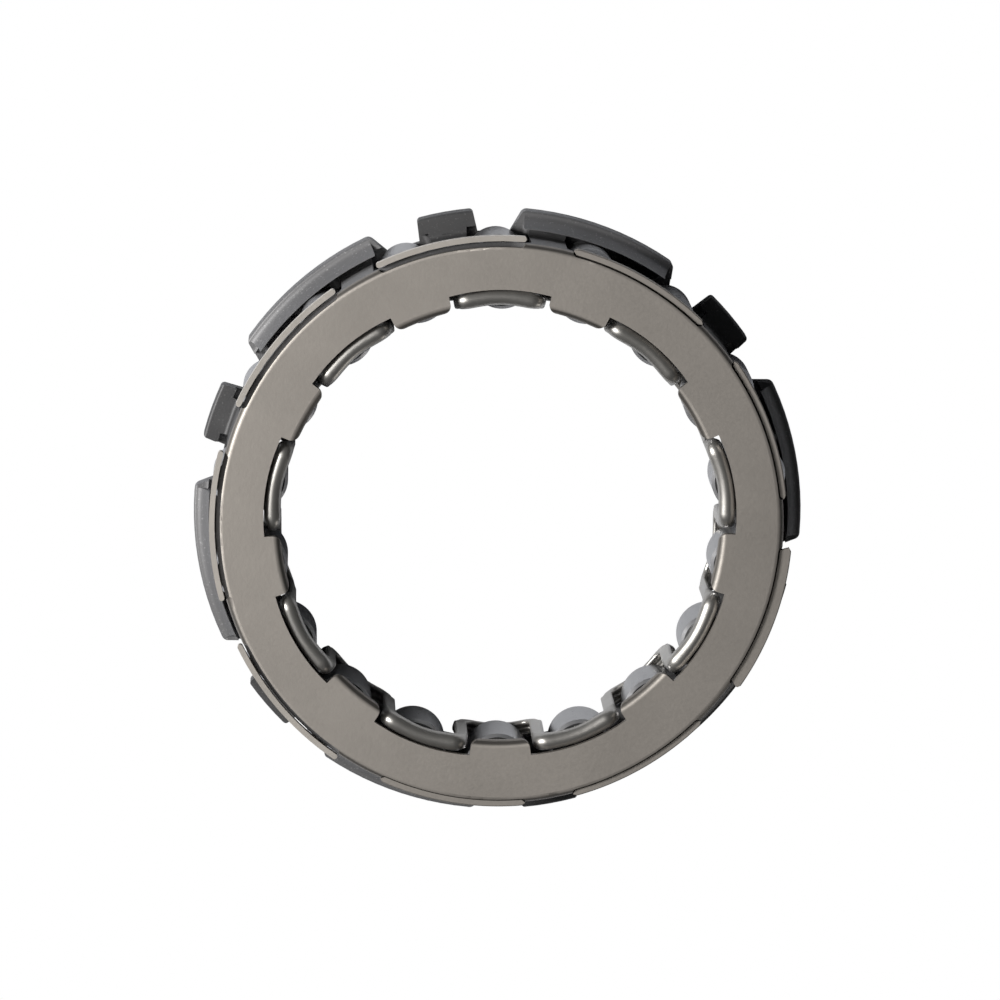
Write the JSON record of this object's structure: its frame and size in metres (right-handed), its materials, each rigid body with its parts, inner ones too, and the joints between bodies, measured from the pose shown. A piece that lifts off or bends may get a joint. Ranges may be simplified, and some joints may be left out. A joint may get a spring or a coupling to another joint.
{
  "type": "one-way sprag clutch",
  "caption": "Flat ring clutch that turns freely one way and locks the other: tilting sprags between a curled inner cage and a lugged outer cage, closed by a tabbed plate.",
  "frame": {"origin": "on the clutch axis, in the plane of the rear faces of the lugs", "axes": "+Z along the clutch axis, from the lugs towards the front plate; +X and +Y to the picture's right and up"},
  "size_m": [0.0684, 0.0682, 0.0122],
  "materials": {
    "outer_cage_steel": "dark satin sheet steel",
    "plate_steel": "warm grey satin sheet steel",
    "inner_cage_steel": "polished sheet steel",
    "spring_steel": "satin spring steel",
    "band_steel": "light satin sheet steel",
    "sprag_steel": "ground hardened steel"
  },
  "bodies": {
    "cages_and_plate": {"outer_cage": "outer_cage_steel", "front_plate": "plate_steel", "ribbon_spring": "spring_steel", "drag_band_1": "band_steel", "drag_band_2": "band_steel", "drag_band_3": "band_steel", "drag_band_4": "band_steel", "drag_band_5": "band_steel", "drag_band_6": "band_steel", "drag_band_7": "band_steel", "drag_band_8": "band_steel", "drag_band_9": "band_steel"},
    "inner_cage": {"inner_cage": "inner_cage_steel"},
    "sprag_01": {"sprag_01": "sprag_steel"},
    "sprag_02": {"sprag_02": "sprag_steel"},
    "sprag_03": {"sprag_03": "sprag_steel"},
    "sprag_04": {"sprag_04": "sprag_steel"},
    "sprag_05": {"sprag_05": "sprag_steel"},
    "sprag_06": {"sprag_06": "sprag_steel"},
    "sprag_07": {"sprag_07": "sprag_steel"},
    "sprag_08": {"sprag_08": "sprag_steel"},
    "sprag_09": {"sprag_09": "sprag_steel"},
    "sprag_10": {"sprag_10": "sprag_steel"},
    "sprag_11": {"sprag_11": "sprag_steel"},
    "sprag_12": {"sprag_12": "sprag_steel"},
    "sprag_13": {"sprag_13": "sprag_steel"},
    "sprag_14": {"sprag_14": "sprag_steel"},
    "sprag_15": {"sprag_15": "sprag_steel"},
    "sprag_16": {"sprag_16": "sprag_steel"},
    "sprag_17": {"sprag_17": "sprag_steel"},
    "sprag_18": {"sprag_18": "sprag_steel"}
  },
  "joints": [
    {"name": "inner_cage_turn", "type": "hinge", "parent": "cages_and_plate", "child": "inner_cage", "pos_m": [0, 0, 0.00615], "axis": [0, 0, 1], "range_deg": [-0.75, 0.38], "stiffness_Nm_per_rad": 0.02},
    {"name": "sprag_01_tilt", "type": "hinge", "parent": "cages_and_plate", "child": "sprag_01", "pos_m": [0.02774, 0.00489, 0.0062], "axis": [0, 0, 1], "range_deg": [-3, 6]},
    {"name": "sprag_02_tilt", "type": "hinge", "parent": "cages_and_plate", "child": "sprag_02", "pos_m": [0.02439, 0.01408, 0.0062], "axis": [0, 0, 1], "range_deg": [-3, 6]},
    {"name": "sprag_03_tilt", "type": "hinge", "parent": "cages_and_plate", "child": "sprag_03", "pos_m": [0.0181, 0.02158, 0.0062], "axis": [0, 0, 1], "range_deg": [-3, 6]},
    {"name": "sprag_04_tilt", "type": "hinge", "parent": "cages_and_plate", "child": "sprag_04", "pos_m": [0.00963, 0.02647, 0.0062], "axis": [0, 0, 1], "range_deg": [-3, 6]},
    {"name": "sprag_05_tilt", "type": "hinge", "parent": "cages_and_plate", "child": "sprag_05", "pos_m": [0, 0.02816, 0.0062], "axis": [0, 0, 1], "range_deg": [-3, 6]},
    {"name": "sprag_06_tilt", "type": "hinge", "parent": "cages_and_plate", "child": "sprag_06", "pos_m": [-0.00963, 0.02647, 0.0062], "axis": [0, 0, 1], "range_deg": [-3, 6]},
    {"name": "sprag_07_tilt", "type": "hinge", "parent": "cages_and_plate", "child": "sprag_07", "pos_m": [-0.0181, 0.02158, 0.0062], "axis": [0, 0, 1], "range_deg": [-3, 6]},
    {"name": "sprag_08_tilt", "type": "hinge", "parent": "cages_and_plate", "child": "sprag_08", "pos_m": [-0.02439, 0.01408, 0.0062], "axis": [0, 0, 1], "range_deg": [-3, 6]},
    {"name": "sprag_09_tilt", "type": "hinge", "parent": "cages_and_plate", "child": "sprag_09", "pos_m": [-0.02774, 0.00489, 0.0062], "axis": [0, 0, 1], "range_deg": [-3, 6]},
    {"name": "sprag_10_tilt", "type": "hinge", "parent": "cages_and_plate", "child": "sprag_10", "pos_m": [-0.02774, -0.00489, 0.0062], "axis": [0, 0, 1], "range_deg": [-3, 6]},
    {"name": "sprag_11_tilt", "type": "hinge", "parent": "cages_and_plate", "child": "sprag_11", "pos_m": [-0.02439, -0.01408, 0.0062], "axis": [0, 0, 1], "range_deg": [-3, 6]},
    {"name": "sprag_12_tilt", "type": "hinge", "parent": "cages_and_plate", "child": "sprag_12", "pos_m": [-0.0181, -0.02158, 0.0062], "axis": [0, 0, 1], "range_deg": [-3, 6]},
    {"name": "sprag_13_tilt", "type": "hinge", "parent": "cages_and_plate", "child": "sprag_13", "pos_m": [-0.00963, -0.02647, 0.0062], "axis": [0, 0, 1], "range_deg": [-3, 6]},
    {"name": "sprag_14_tilt", "type": "hinge", "parent": "cages_and_plate", "child": "sprag_14", "pos_m": [0, -0.02816, 0.0062], "axis": [0, 0, 1], "range_deg": [-3, 6]},
    {"name": "sprag_15_tilt", "type": "hinge", "parent": "cages_and_plate", "child": "sprag_15", "pos_m": [0.00963, -0.02647, 0.0062], "axis": [0, 0, 1], "range_deg": [-3, 6]},
    {"name": "sprag_16_tilt", "type": "hinge", "parent": "cages_and_plate", "child": "sprag_16", "pos_m": [0.0181, -0.02158, 0.0062], "axis": [0, 0, 1], "range_deg": [-3, 6]},
    {"name": "sprag_17_tilt", "type": "hinge", "parent": "cages_and_plate", "child": "sprag_17", "pos_m": [0.02439, -0.01408, 0.0062], "axis": [0, 0, 1], "range_deg": [-3, 6]},
    {"name": "sprag_18_tilt", "type": "hinge", "parent": "cages_and_plate", "child": "sprag_18", "pos_m": [0.02774, -0.00489, 0.0062], "axis": [0, 0, 1], "range_deg": [-3, 6]}
  ],
  "couplings": [
    {"joint": "sprag_01_tilt", "follows": "inner_cage_turn", "ratio": -8},
    {"joint": "sprag_02_tilt", "follows": "inner_cage_turn", "ratio": -8},
    {"joint": "sprag_03_tilt", "follows": "inner_cage_turn", "ratio": -8},
    {"joint": "sprag_04_tilt", "follows": "inner_cage_turn", "ratio": -8},
    {"joint": "sprag_05_tilt", "follows": "inner_cage_turn", "ratio": -8},
    {"joint": "sprag_06_tilt", "follows": "inner_cage_turn", "ratio": -8},
    {"joint": "sprag_07_tilt", "follows": "inner_cage_turn", "ratio": -8},
    {"joint": "sprag_08_tilt", "follows": "inner_cage_turn", "ratio": -8},
    {"joint": "sprag_09_tilt", "follows": "inner_cage_turn", "ratio": -8},
    {"joint": "sprag_10_tilt", "follows": "inner_cage_turn", "ratio": -8},
    {"joint": "sprag_11_tilt", "follows": "inner_cage_turn", "ratio": -8},
    {"joint": "sprag_12_tilt", "follows": "inner_cage_turn", "ratio": -8},
    {"joint": "sprag_13_tilt", "follows": "inner_cage_turn", "ratio": -8},
    {"joint": "sprag_14_tilt", "follows": "inner_cage_turn", "ratio": -8},
    {"joint": "sprag_15_tilt", "follows": "inner_cage_turn", "ratio": -8},
    {"joint": "sprag_16_tilt", "follows": "inner_cage_turn", "ratio": -8},
    {"joint": "sprag_17_tilt", "follows": "inner_cage_turn", "ratio": -8},
    {"joint": "sprag_18_tilt", "follows": "inner_cage_turn", "ratio": -8}
  ]
}
